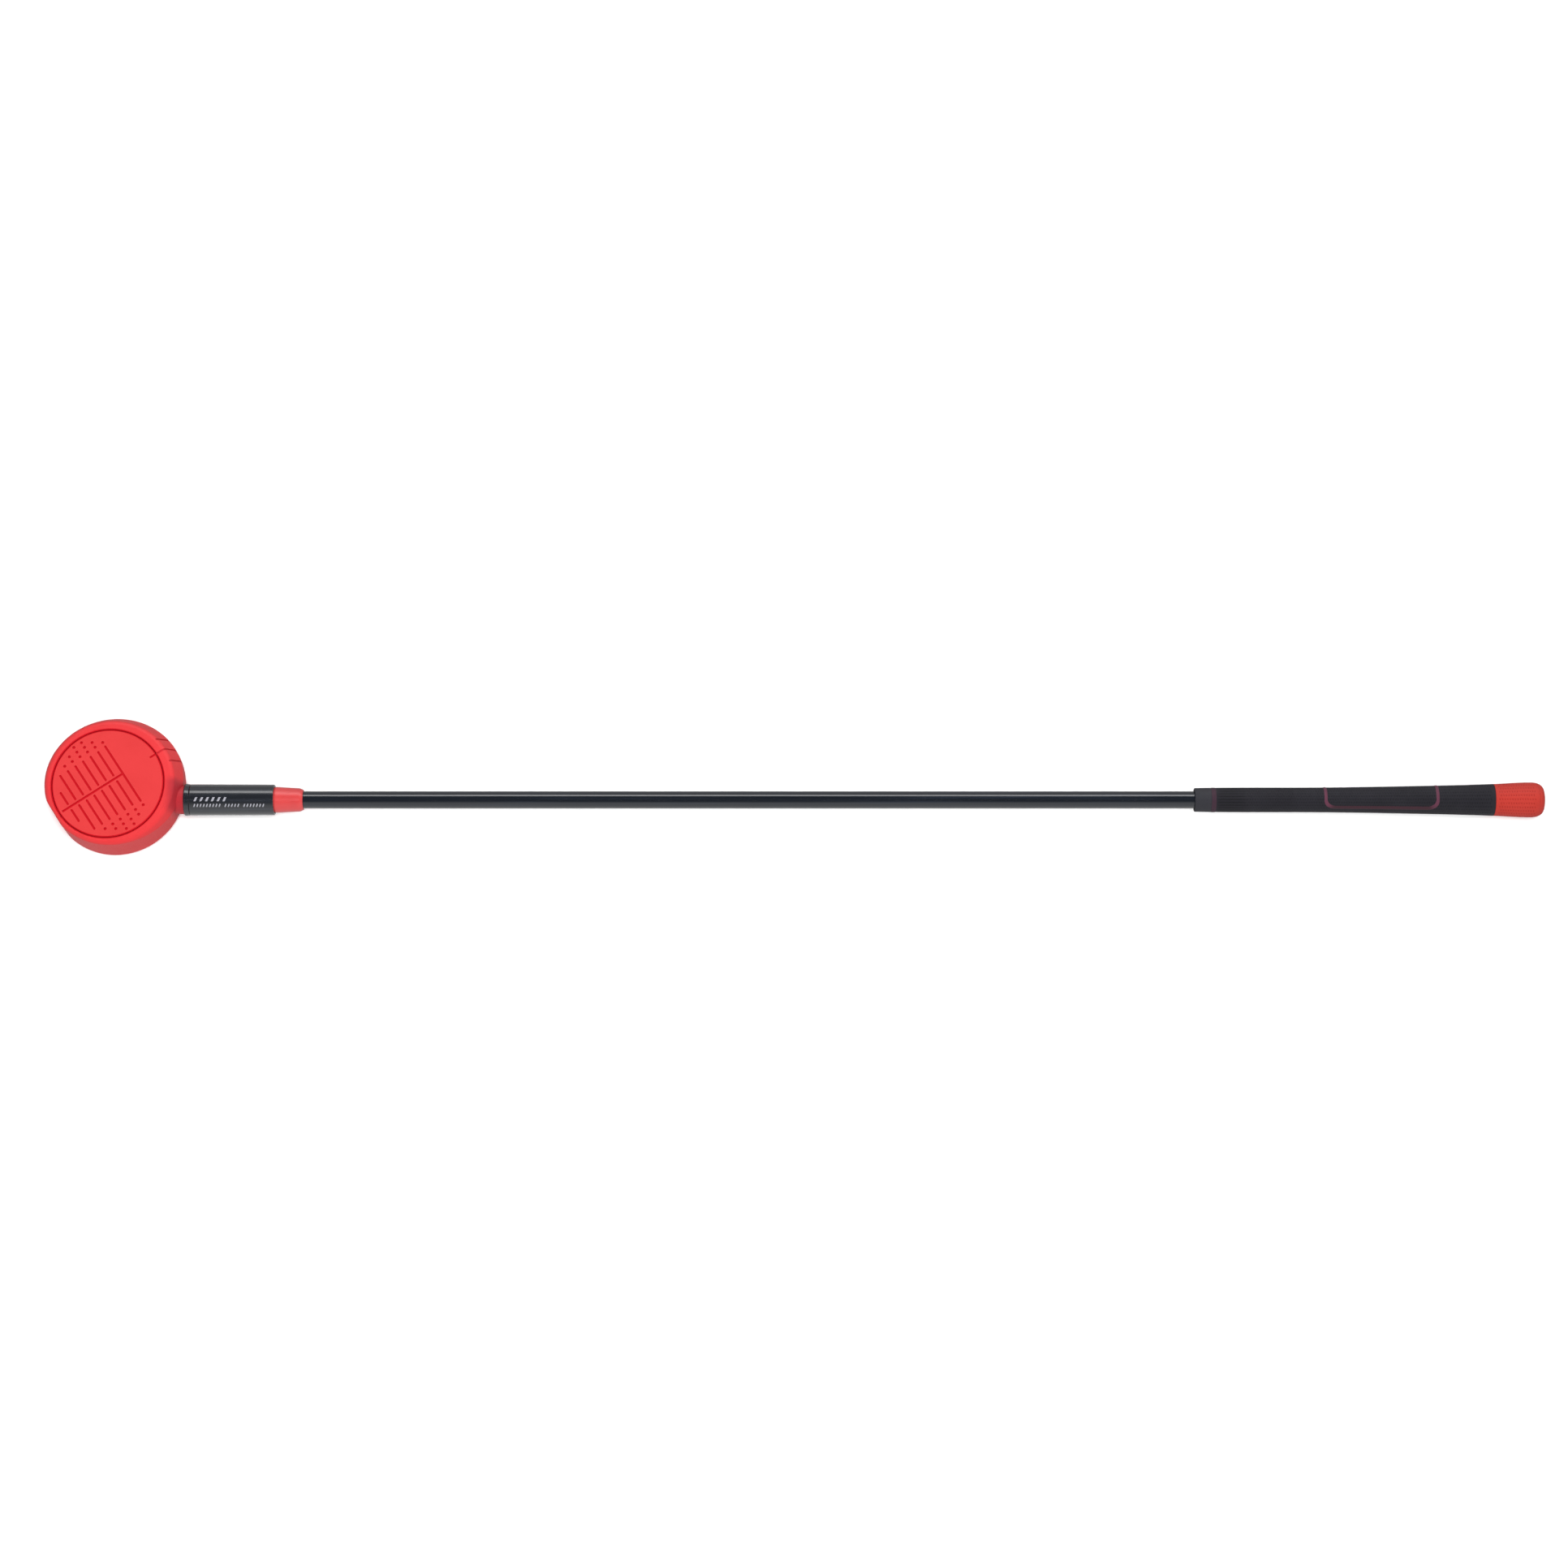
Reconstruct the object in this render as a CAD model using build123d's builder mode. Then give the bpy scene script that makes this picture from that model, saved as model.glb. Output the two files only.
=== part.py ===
"""Swing trainer stick, lying flat with the round cover of its head on top.

Millimetres. +X runs along the shaft from the head to the grip, +Z is the turning axis of the
head's cover, and the origin is the foot of that axis on the head's flat rear face.
"""

from build123d import *

import os
from math import cos, radians, sin

# Head
LIE_DEG = 57.0  # angle between the sole and the shaft
HEAD_THICKNESS = 36.0
HEAD_RADIUS = 52.0
CROWN_SHIFT = 4.8  # centre of the outline above the cover's axis
TOE_SHIFT = 1.9  # and away from the shaft's side
SOLE_DEPTH = 46.0  # sole flat below the cover's axis
SOLE_BLEND = 26.0
FACE_RADIUS = 48.3  # corner between the front face and the sloping side
FACE_SHIFT = 1.6  # centre of that corner above the cover's axis
FACE_ROUND = 4.0
SIDE_SLOPE = 0.4  # how far the side widens for each millimetre towards the rear
SIDE_REACH = 57.0
REAR_RADIUS = 45.5
REAR_BEVEL = 11.5
REAR_ROUND = 9.0
EDGE_ROUND = 3.0
CAVITY_RADIUS = 39.8
FLOOR = 4.0

# Carrier inside the head
PLATE_THICKNESS = 2.5
BOSS_TOP = 28.0
BOSS_HALF_WIDTH = 9.5
CUP_WALL = 1.6
CUP_TOP = 14.0
CUP_GAP = 0.4
SCREW_CIRCLE = 33.0
SCREW_RADIUS = 1.45
SCREW_START_DEG = 60.0
SCREW_COUNT = 3
SCREW_TIP = 1.6
SCREW_HEAD = 1.8
SOCKET_DEPTH = 1.0

# Cover and its quick thread
COVER_RADIUS = 42.15
SEAM_GAP = 0.4
LIP_CHAMFER = 0.55
COVER_THICKNESS = 3.8
SEAL_THICKNESS = 0.8
SKIRT_RADIUS = 39.4
SKIRT_WALL = 2.4
SKIRT_DEPTH = 7.6
LEAD = 24.0  # rise for one full turn
STARTS = 3
LUG_ARC_DEG = 20.0
LUG_HEIGHT = 1.8
LUG_DEPTH = 1.6
LUG_START_DEG = 50.0
LUG_ABOVE_SKIRT_END = 1.75
LUG_ROOT = 1.0  # how far a lug reaches into the skirt
GROOVE_RUN_OUT_DEG = 1.5
THREAD_CLEARANCE = 0.35
HUB_RADIUS = 7.0
RIB_TOP_GAP = 1.0

# Score lines on the cover
SCORE_DEPTH = 0.8
SCORE_WIDTH = 1.7
SCORE_TOP = 13.5
SCORE_PITCH = 6.7
SCORE_HALF = 25.8
SCORE_LAST_HALF = 14.0
SCORE_GAP = 2.0
SCORE_TURN_DEG = 1.1  # the score lines stand turned a little from the sight line
SPINE_REACH = 39.8  # foot of the long upright line, below the axis
DOT_RADIUS = 1.15
DOT_START = 29.6
DOT_PITCH = 4.45
DOTS_PER_ROW = (1, 2, 3, 3, 2, 1, 0, 0)
SIGHT_WIDTH = 1.5
SIGHT_SPACING = 10.0
SIGHT_START = 37.0
SIGHT_SIDE_START = 48.0

# Weights
DISC_RADIUS = 20.5
DISC_THICKNESS = 5.0
DISC_COUNT = 3
DISC_CHAMFER = 0.5
SPACER_THICKNESS = 0.8
SPACER_INSET = 1.5
POST_RADIUS = 5.0
POST_ROOT_RADIUS = 3.0
POST_GAP = 0.1
POST_CHAMFER = 0.6

# Pressure pad
PAD_RADIUS = 18.0
PAD_THICKNESS = 2.4
CUSHION = 0.8
WASHER = 0.6
PAD_SCREW_RADIUS = 3.0
PAD_SCREW_HEAD = 5.0
PAD_SCREW_HEAD_TOP = 1.25
PAD_RECESS = 1.3
PAD_TURN_GAP = 0.07
KEY_RADIUS = 2.2
KEY_DEPTH = 0.9

# Shaft line
SHAFT_Y = -8.1
SHAFT_Z = HEAD_THICKNESS / 2
SHAFT_RADIUS = 6.6
SHAFT_WALL = 1.1
TONGUE_RADIUS = 6.2
CORE_RADIUS = 10.0
NECK_RADIUS = 10.8
SLEEVE_RADIUS = 11.85
FERRULE_RADIUS = 9.9
PIN_RADIUS = 1.6
PIN_CHAMFER = 0.3
LIP_HEIGHT = 0.5  # raised lip of the collar
SLEEVE_ROUND = 0.5
FERRULE_NOSE = 1.0  # thickness of the ferrule's thin end
PLUG_LENGTH = 14.0
FIT = 0.04  # running clearance on the radius

# Stations along the shaft
TONGUE_TIP = 23.5
BOSS_END = 32.0
NECK_END = 56.2
COLLAR_END = 60.4
SHAFT_TIP = 74.0
CORE_END = 122.0
SLEEVE_END = 124.6
FERRULE_END = 146.5
GRIP_MOUTH = 824.4
RING_START = 836.9
RING_END = 840.7
GUIDE_START = 922.4
GUIDE_END = 1009.5
CAP_START = 1052.2
SHAFT_BUTT = 1078.0
CAP_WIDEST = 1080.0
BUTT_END = 1090.0
COUNTERWEIGHT_START = 1012.0
COUNTERWEIGHT_END = 1052.0
STOP_END = 1070.0
COUNTERWEIGHT_SCREW_INSET = 12.0
COUNTERWEIGHT_SCREW_HEAD = 2.5

# Grip radii
MOUTH_RADIUS = 9.0
RING_RADIUS = 9.15
WAIST_RADIUS = 9.5
WAIST_STATION = 928.0
MIDDLE_RADIUS = 10.45
MIDDLE_STATION = 988.0
CAP_RADIUS = 12.1
WIDEST_RADIUS = 13.3
BUTT_BEAD = 5.4  # how far the end face is in from the widest radius
TAPE_THICKNESS = 0.25
TAPE_INSET = 1.5
INLAY_DEPTH = 0.7
GUIDE_WIDTH = 2.4
GUIDE_LOW_DEG = -61.0
GUIDE_HIGH_DEG = 130.0
GUIDE_BAND_DEG = 17.0  # each long side of the guide, measured round the grip

UP = Vector(sin(radians(LIE_DEG)), cos(radians(LIE_DEG)), 0)
HEEL = Vector(cos(radians(LIE_DEG)), -sin(radians(LIE_DEG)), 0)
HEAD_PLANE = Plane(origin=(0, 0, 0), x_dir=HEEL, z_dir=(0, 0, 1))
SHAFT_PLANE = Plane(origin=(0, SHAFT_Y, SHAFT_Z), x_dir=(1, 0, 0), z_dir=(0, -1, 0))
SHAFT_AXIS = Axis((0, SHAFT_Y, SHAFT_Z), (1, 0, 0))

SEAM_RADIUS = COVER_RADIUS + SEAM_GAP
SEAT_Z = HEAD_THICKNESS - COVER_THICKNESS - SEAL_THICKNESS
COVER_UNDER = HEAD_THICKNESS - COVER_THICKNESS
SKIRT_END = COVER_UNDER - SKIRT_DEPTH
LUG_Z = SKIRT_END + LUG_ABOVE_SKIRT_END
FRAME_TOP = FLOOR + PLATE_THICKNESS
DISC_STEP = DISC_THICKNESS + SPACER_THICKNESS
STACK_TOP = FRAME_TOP + DISC_COUNT * DISC_STEP - SPACER_THICKNESS
PAD_LOW = STACK_TOP + CUSHION
HUB_LOW = PAD_LOW + PAD_THICKNESS + WASHER
PIN_STATION = (TONGUE_TIP + BOSS_END) / 2
CORE_FIT = CORE_RADIUS + FIT
SHAFT_FIT = SHAFT_RADIUS + FIT
SHAFT_BORE = SHAFT_RADIUS - SHAFT_WALL
TAPE_RADIUS = SHAFT_FIT + TAPE_THICKNESS
SKIN_REACH = 3 * WIDEST_RADIUS  # outside every grip radius

os.makedirs("parts", exist_ok=True)


def turned(corners, mode=Mode.ADD):
    """A ring about the shaft's axis through (station, radius) corners."""
    with BuildSketch(SHAFT_PLANE) as profile:
        with BuildLine():
            Polyline(*corners, close=True)
        make_face()
    revolve(profile.sketch, axis=SHAFT_AXIS, mode=mode)


def tube(start, end, outer, inner, mode=Mode.ADD):
    """A straight tube about the shaft's axis."""
    turned([(start, inner), (end, inner), (end, outer), (start, outer)], mode)


def disc(low, high, outer, inner=0.0, mode=Mode.ADD):
    """A disc or ring about the cover's axis."""
    with BuildSketch(Plane.XY.offset(low)) as outline:
        Circle(outer)
        if inner:
            Circle(inner, mode=Mode.SUBTRACT)
    extrude(outline.sketch, amount=high - low, mode=mode)


def head_blank(inset):
    """The head's solid outer shape, with every face moved in by inset."""
    side_drop = (SIDE_REACH - FACE_RADIUS) / SIDE_SLOPE
    corners = [
        (REAR_RADIUS, 0),
        (SIDE_REACH, REAR_BEVEL),
        (SIDE_REACH, HEAD_THICKNESS - side_drop),
        (FACE_RADIUS, HEAD_THICKNESS),
    ]
    mirrored = [(-radius, height) for radius, height in reversed(corners)]
    with BuildSketch(Plane.XZ) as section:
        with BuildLine():
            Polyline(*corners, *mirrored, close=True)
        make_face()
        offset(amount=-inset, kind=Kind.INTERSECTION)
        fillet(section.vertices().group_by(Axis.Y)[-1], FACE_ROUND - inset)
        fillet(section.vertices().group_by(Axis.Y)[0], REAR_ROUND - inset)
        with Locations((0, 0)):
            Rectangle(
                2 * SIDE_REACH,
                4 * HEAD_THICKNESS,
                align=(Align.MAX, Align.CENTER),
                mode=Mode.SUBTRACT,
            )
    with BuildPart() as turned_blank:
        revolve(section.sketch, axis=Axis.Z)
    with BuildPart() as blank:
        with BuildSketch(HEAD_PLANE.offset(inset)) as outline:
            with Locations((-TOE_SHIFT, CROWN_SHIFT)):
                Circle(HEAD_RADIUS - inset)
            with Locations((0, inset - SOLE_DEPTH)):
                Rectangle(
                    4 * HEAD_RADIUS,
                    HEAD_RADIUS,
                    align=(Align.CENTER, Align.MAX),
                    mode=Mode.SUBTRACT,
                )
            fillet(outline.vertices(), SOLE_BLEND)
        extrude(amount=HEAD_THICKNESS - 2 * inset)
        add(Pos(FACE_SHIFT * UP) * turned_blank.part, mode=Mode.INTERSECT)
        walls = blank.faces().filter_by(lambda face: abs(face.normal_at().Z) < 1e-3)
        rim = [edge for face in walls for edge in face.edges() if abs(edge.tangent_at(0.5).Z) < 0.9]
        fillet(rim, EDGE_ROUND)
    return blank.part


def helical_bar(radius_in, radius_out, height, first_deg, last_deg):
    """A bar that climbs round the cover's axis by LEAD a turn, from first_deg to last_deg."""
    middle = (radius_in + radius_out) / 2
    climb = LEAD * (last_deg - first_deg) / 360
    with BuildPart() as bar:
        with BuildLine() as path:
            Helix(pitch=LEAD, height=climb, radius=middle)
        start = Plane(origin=path.line @ 0, x_dir=(1, 0, 0), z_dir=path.line % 0)
        with BuildSketch(start):
            Rectangle(radius_out - radius_in, height)
        sweep(path=path.line, is_frenet=True)
    lift = LUG_Z + LEAD * first_deg / 360
    return Pos(0, 0, lift) * Rot(0, 0, first_deg) * bar.part


# Head --------------------------------------------------------------------------------------

# How the grooves for the sight lines are cut: thin slabs through the outer skin only.
with BuildPart() as sight_marks:
    with BuildSketch(HEAD_PLANE):
        with Locations((0, SIGHT_START)):
            Rectangle(SIGHT_WIDTH, HEAD_RADIUS, align=(Align.CENTER, Align.MIN))
        for side in (-1, 1):
            with Locations((side * SIGHT_SPACING, SIGHT_SIDE_START)):
                Rectangle(SIGHT_WIDTH, HEAD_RADIUS, align=(Align.CENTER, Align.MIN))
    extrude(amount=2 * HEAD_THICKNESS)
    with BuildSketch(Plane.XY):
        Circle(3 * HEAD_RADIUS)
    extrude(amount=HEAD_THICKNESS / 3, mode=Mode.SUBTRACT)
    add(head_blank(SCORE_DEPTH), mode=Mode.SUBTRACT)

groove_start_deg = -LUG_ARC_DEG / 2 - GROOVE_RUN_OUT_DEG
groove_end_deg = (SEAT_Z + LUG_HEIGHT - LUG_Z) / LEAD * 360 + LUG_ARC_DEG / 2
groove = helical_bar(
    SKIRT_RADIUS - 2 * LUG_ROOT,
    SKIRT_RADIUS + LUG_DEPTH + THREAD_CLEARANCE,
    LUG_HEIGHT + 2 * THREAD_CLEARANCE,
    groove_start_deg,
    groove_end_deg,
)
lug = helical_bar(
    SKIRT_RADIUS - LUG_ROOT,
    SKIRT_RADIUS + LUG_DEPTH,
    LUG_HEIGHT,
    -LUG_ARC_DEG / 2,
    LUG_ARC_DEG / 2,
)

screw_places = PolarLocations(SCREW_CIRCLE, SCREW_COUNT, start_angle=SCREW_START_DEG)

with BuildPart() as head_shell:
    add(head_blank(0))
    tube(CAVITY_RADIUS, NECK_END, NECK_RADIUS, 0)
    disc(FLOOR, HEAD_THICKNESS, CAVITY_RADIUS, mode=Mode.SUBTRACT)
    disc(SEAT_Z, HEAD_THICKNESS, SEAM_RADIUS, mode=Mode.SUBTRACT)
    with BuildSketch(Plane.XZ) as lip:
        with BuildLine():
            Polyline(
                (SEAM_RADIUS - 1, HEAD_THICKNESS - LIP_CHAMFER - 1),
                (SEAM_RADIUS + LIP_CHAMFER + 1, HEAD_THICKNESS + 1),
                (SEAM_RADIUS - 1, HEAD_THICKNESS + 1),
                close=True,
            )
        make_face()
    revolve(lip.sketch, axis=Axis.Z, mode=Mode.SUBTRACT)
    tube(BOSS_END, NECK_END + 1, TONGUE_RADIUS + FIT, 0, Mode.SUBTRACT)
    with PolarLocations(0, STARTS, start_angle=LUG_START_DEG):
        add(groove, mode=Mode.SUBTRACT)
    add(sight_marks.part, mode=Mode.SUBTRACT)
    with BuildSketch(Plane.XY.offset(SCREW_TIP - POST_GAP)):
        with screw_places:
            Circle(SCREW_RADIUS + FIT)
    extrude(amount=FLOOR, mode=Mode.SUBTRACT)
head_shell.part.label = "head_shell"
export_step(head_shell.part, "parts/head_shell.step")

# Black carrier inside the shell: a plate with a weight cup and the boss that holds the hosel.
with BuildPart() as inner_frame:
    disc(FLOOR, FRAME_TOP, SKIRT_RADIUS)
    disc(FRAME_TOP, CUP_TOP, DISC_RADIUS + CUP_GAP + CUP_WALL, DISC_RADIUS + CUP_GAP)
    with BuildSketch(Plane.XY.offset(FRAME_TOP)):
        with Locations((TONGUE_TIP, SHAFT_Y)):
            Rectangle(BOSS_END - TONGUE_TIP, 2 * BOSS_HALF_WIDTH, align=(Align.MIN, Align.CENTER))
    extrude(amount=BOSS_TOP - FRAME_TOP)
    tube(TONGUE_TIP, BOSS_END + 1, TONGUE_RADIUS + FIT, 0, Mode.SUBTRACT)
    with Locations((0, 0, FRAME_TOP)):
        Hole(POST_ROOT_RADIUS + FIT, depth=FRAME_TOP)
    with Locations(Plane.XY.offset(FRAME_TOP)):
        with screw_places:
            Hole(SCREW_RADIUS + FIT, depth=FRAME_TOP)
    with Locations((PIN_STATION, SHAFT_Y, BOSS_TOP)):
        Hole(PIN_RADIUS + FIT, depth=BOSS_TOP - FRAME_TOP)
inner_frame.part.label = "inner_frame"
export_step(inner_frame.part, "parts/inner_frame.step")

with BuildPart() as frame_screws:
    with BuildSketch(Plane.XY.offset(SCREW_TIP)):
        with screw_places:
            Circle(SCREW_RADIUS)
    extrude(amount=FRAME_TOP - SCREW_TIP)
    with BuildSketch(Plane.XY.offset(FRAME_TOP)):
        with screw_places:
            Circle(2 * SCREW_RADIUS)
    extrude(amount=SCREW_HEAD)
    with BuildSketch(Plane.XY.offset(FRAME_TOP + SCREW_HEAD - SOCKET_DEPTH)):
        with screw_places:
            RegularPolygon(SCREW_RADIUS, 6)
    extrude(amount=SOCKET_DEPTH, mode=Mode.SUBTRACT)
frame_screws.part.label = "frame_screws"
export_step(frame_screws.part, "parts/frame_screws.step")

# Weights -----------------------------------------------------------------------------------

with BuildPart() as weight_post:
    disc(FLOOR + POST_GAP, FRAME_TOP, POST_ROOT_RADIUS)
    disc(FRAME_TOP, STACK_TOP - 3 * POST_GAP, POST_RADIUS)
    chamfer(weight_post.edges().group_by(Axis.Z)[-1], POST_CHAMFER)
weight_post.part.label = "weight_post"
export_step(weight_post.part, "parts/weight_post.step")

for number in range(DISC_COUNT):
    low = FRAME_TOP + number * DISC_STEP
    with BuildPart() as weight_disc:
        disc(low, low + DISC_THICKNESS, DISC_RADIUS, POST_RADIUS + POST_GAP)
        chamfer(weight_disc.edges(), DISC_CHAMFER)
    weight_disc.part.label = f"weight_disc_{number + 1}"
    export_step(weight_disc.part, f"parts/weight_disc_{number + 1}.step")

with BuildPart() as weight_spacers:
    for number in range(1, DISC_COUNT):
        low = FRAME_TOP + number * DISC_STEP
        disc(low - SPACER_THICKNESS, low, DISC_RADIUS - SPACER_INSET, POST_RADIUS + POST_GAP)
weight_spacers.part.label = "weight_spacers"
export_step(weight_spacers.part, "parts/weight_spacers.step")

# Pressure pad: it swivels under the cover and holds the weights down.
with BuildPart() as pad_cushion:
    disc(STACK_TOP, PAD_LOW, PAD_RADIUS - 1, PAD_SCREW_HEAD + 1)
pad_cushion.part.label = "pad_cushion"
export_step(pad_cushion.part, "parts/pad_cushion.step")

with BuildPart() as pressure_pad:
    disc(PAD_LOW, HUB_LOW - WASHER, PAD_RADIUS, PAD_SCREW_RADIUS + PAD_TURN_GAP)
    disc(PAD_LOW, PAD_LOW + PAD_RECESS, PAD_SCREW_HEAD + 3 * PAD_TURN_GAP, mode=Mode.SUBTRACT)
    top_edges = pressure_pad.edges().group_by(Axis.Z)[-1]
    chamfer(top_edges.sort_by(SortBy.RADIUS)[-1], DISC_CHAMFER)
pressure_pad.part.label = "pressure_pad"
export_step(pressure_pad.part, "parts/pressure_pad.step")

with BuildPart() as thrust_washer:
    disc(HUB_LOW - WASHER, HUB_LOW, HUB_RADIUS, PAD_SCREW_RADIUS + PAD_TURN_GAP)
thrust_washer.part.label = "thrust_washer"
export_step(thrust_washer.part, "parts/thrust_washer.step")

# Front cover -------------------------------------------------------------------------------

with BuildPart() as front_cover:
    disc(COVER_UNDER, HEAD_THICKNESS, COVER_RADIUS)
    chamfer(front_cover.edges().group_by(Axis.Z)[-1], LIP_CHAMFER)
    disc(SKIRT_END, COVER_UNDER, SKIRT_RADIUS, SKIRT_RADIUS - SKIRT_WALL)
    disc(HUB_LOW, COVER_UNDER, HUB_RADIUS)
    with BuildSketch(Plane.XY.offset(BOSS_TOP + RIB_TOP_GAP)):
        with PolarLocations(SKIRT_RADIUS / 2, 2 * STARTS):
            Rectangle(SKIRT_RADIUS - 2 * SKIRT_WALL, SKIRT_WALL)
        Circle(HUB_RADIUS - 1, mode=Mode.SUBTRACT)
    extrude(amount=COVER_UNDER - BOSS_TOP - RIB_TOP_GAP)
    disc(HUB_LOW - 1, COVER_UNDER, PAD_SCREW_RADIUS - LUG_ROOT / 2 + FIT, mode=Mode.SUBTRACT)
    with PolarLocations(0, STARTS, start_angle=LUG_START_DEG):
        add(lug)
    face_plane = HEAD_PLANE.offset(HEAD_THICKNESS)
    with BuildSketch(face_plane.rotated((0, 0, SCORE_TURN_DEG))):
        for row, dots in enumerate(DOTS_PER_ROW):
            height = SCORE_TOP - row * SCORE_PITCH
            half = SCORE_LAST_HALF if row == len(DOTS_PER_ROW) - 1 else SCORE_HALF
            inner = 0 if row == 0 else SCORE_GAP
            for side in (-1, 1):
                with Locations((side * (half + inner) / 2, height)):
                    SlotOverall(half - inner + (SCORE_WIDTH if row == 0 else 0), SCORE_WIDTH)
                for dot in range(dots):
                    with Locations((side * (DOT_START + dot * DOT_PITCH), height)):
                        Circle(DOT_RADIUS)
        with Locations((0, SCORE_TOP)):
            Rectangle(SCORE_WIDTH, SCORE_TOP + SPINE_REACH, align=(Align.CENTER, Align.MAX))
    extrude(amount=-SCORE_DEPTH, mode=Mode.SUBTRACT)
    with BuildSketch(face_plane):
        with Locations((0, SIGHT_START)):
            Rectangle(SIGHT_WIDTH, COVER_RADIUS, align=(Align.CENTER, Align.MIN))
    extrude(amount=-SCORE_DEPTH, mode=Mode.SUBTRACT)
front_cover.part.label = "front_cover"
export_step(front_cover.part, "parts/front_cover.step")

with BuildPart() as cover_seal:
    disc(SEAT_Z, COVER_UNDER, COVER_RADIUS - SEAM_GAP, SKIRT_RADIUS + POST_GAP)
cover_seal.part.label = "cover_seal"
export_step(cover_seal.part, "parts/cover_seal.step")

with BuildPart() as pad_screw:
    head_low = PAD_LOW + POST_GAP
    head_top = PAD_LOW + PAD_SCREW_HEAD_TOP
    disc(head_low, head_top, PAD_SCREW_HEAD)
    disc(head_top, HUB_LOW, PAD_SCREW_RADIUS)
    disc(HUB_LOW, COVER_UNDER - CUP_GAP, PAD_SCREW_RADIUS - LUG_ROOT / 2)
    with BuildSketch(Plane.XY.offset(head_low)):
        RegularPolygon(KEY_RADIUS, 6)
    extrude(amount=KEY_DEPTH, mode=Mode.SUBTRACT)
pad_screw.part.label = "pad_screw"
export_step(pad_screw.part, "parts/pad_screw.step")

# Hosel -------------------------------------------------------------------------------------

with BuildPart() as hosel_core:
    turned(
        [
            (TONGUE_TIP, 0),
            (TONGUE_TIP, TONGUE_RADIUS),
            (NECK_END, TONGUE_RADIUS),
            (NECK_END, CORE_RADIUS),
            (CORE_END, CORE_RADIUS),
            (CORE_END, SHAFT_FIT),
            (SHAFT_TIP, SHAFT_FIT),
            (SHAFT_TIP, 0),
        ]
    )
    with Locations((PIN_STATION, SHAFT_Y, BOSS_TOP)):
        Hole(PIN_RADIUS + FIT, depth=BOSS_TOP - FRAME_TOP)
hosel_core.part.label = "hosel_core"
export_step(hosel_core.part, "parts/hosel_core.step")

with BuildPart() as hosel_pin:
    with BuildSketch(Plane.XY.offset(FRAME_TOP)):
        with Locations((PIN_STATION, SHAFT_Y)):
            Circle(PIN_RADIUS)
    extrude(amount=BOSS_TOP - FRAME_TOP)
    chamfer(hosel_pin.edges(), PIN_CHAMFER)
hosel_pin.part.label = "hosel_pin"
export_step(hosel_pin.part, "parts/hosel_pin.step")

with BuildPart() as hosel_collar:
    turned(
        [
            (NECK_END + 0.1, CORE_FIT),
            (COLLAR_END, CORE_FIT),
            (COLLAR_END, SLEEVE_RADIUS + FIT),
            (NECK_END + 3 * LIP_HEIGHT, SLEEVE_RADIUS + LIP_HEIGHT + FIT),
            (NECK_END + LIP_HEIGHT, SLEEVE_RADIUS + LIP_HEIGHT),
            (NECK_END + 0.1, SLEEVE_RADIUS),
        ]
    )
hosel_collar.part.label = "hosel_collar"
export_step(hosel_collar.part, "parts/hosel_collar.step")

with BuildPart() as hosel_sleeve:
    turned(
        [
            (COLLAR_END + 0.15, CORE_FIT),
            (SLEEVE_END, CORE_FIT),
            (SLEEVE_END, SLEEVE_RADIUS - 0.2),
            (COLLAR_END + 0.15, SLEEVE_RADIUS),
        ]
    )
    outer_edges = hosel_sleeve.edges().filter_by(GeomType.CIRCLE).group_by(SortBy.RADIUS)[1:]
    fillet([edge for group in outer_edges for edge in group], SLEEVE_ROUND)
hosel_sleeve.part.label = "hosel_sleeve"
export_step(hosel_sleeve.part, "parts/hosel_sleeve.step")

with BuildPart() as ferrule:
    turned(
        [
            (CORE_END + 0.1, SHAFT_FIT),
            (FERRULE_END, SHAFT_FIT),
            (FERRULE_END, SHAFT_RADIUS + FERRULE_NOSE),
            (FERRULE_END - 0.8, SHAFT_RADIUS + 1.6 * FERRULE_NOSE),
            (FERRULE_END - 2.6, SHAFT_RADIUS + 2.1 * FERRULE_NOSE),
            (SLEEVE_END + 1.2, FERRULE_RADIUS),
            (SLEEVE_END + 0.6, FERRULE_RADIUS - 0.4),
            (CORE_END + 0.1, FERRULE_RADIUS - 0.4),
        ]
    )
ferrule.part.label = "ferrule"
export_step(ferrule.part, "parts/ferrule.step")

# Shaft -------------------------------------------------------------------------------------

with BuildPart() as shaft:
    tube(SHAFT_TIP, SHAFT_BUTT, SHAFT_RADIUS, SHAFT_BORE)
shaft.part.label = "shaft"
export_step(shaft.part, "parts/shaft.step")

with BuildPart() as tip_plug:
    tube(SHAFT_TIP, SHAFT_TIP + PLUG_LENGTH, SHAFT_BORE - FIT, 0)
    chamfer(tip_plug.edges(), DISC_CHAMFER)
tip_plug.part.label = "tip_plug"
export_step(tip_plug.part, "parts/tip_plug.step")

with BuildPart() as counterweight:
    tube(COUNTERWEIGHT_START, COUNTERWEIGHT_END, SHAFT_BORE - FIT, PIN_RADIUS + FIT)
    circles = counterweight.edges().filter_by(GeomType.CIRCLE)
    chamfer(circles.sort_by(SortBy.RADIUS)[-2:], DISC_CHAMFER)
counterweight.part.label = "counterweight"
export_step(counterweight.part, "parts/counterweight.step")

with BuildPart() as butt_stop:
    tube(COUNTERWEIGHT_END, STOP_END, SHAFT_BORE - FIT, PIN_RADIUS + FIT)
butt_stop.part.label = "butt_stop"
export_step(butt_stop.part, "parts/butt_stop.step")

with BuildPart() as counterweight_screw:
    tube(COUNTERWEIGHT_START + COUNTERWEIGHT_SCREW_INSET, STOP_END, PIN_RADIUS, 0)
    tube(STOP_END, STOP_END + COUNTERWEIGHT_SCREW_HEAD, 2 * PIN_RADIUS, 0)
counterweight_screw.part.label = "counterweight_screw"
export_step(counterweight_screw.part, "parts/counterweight_screw.step")

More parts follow.
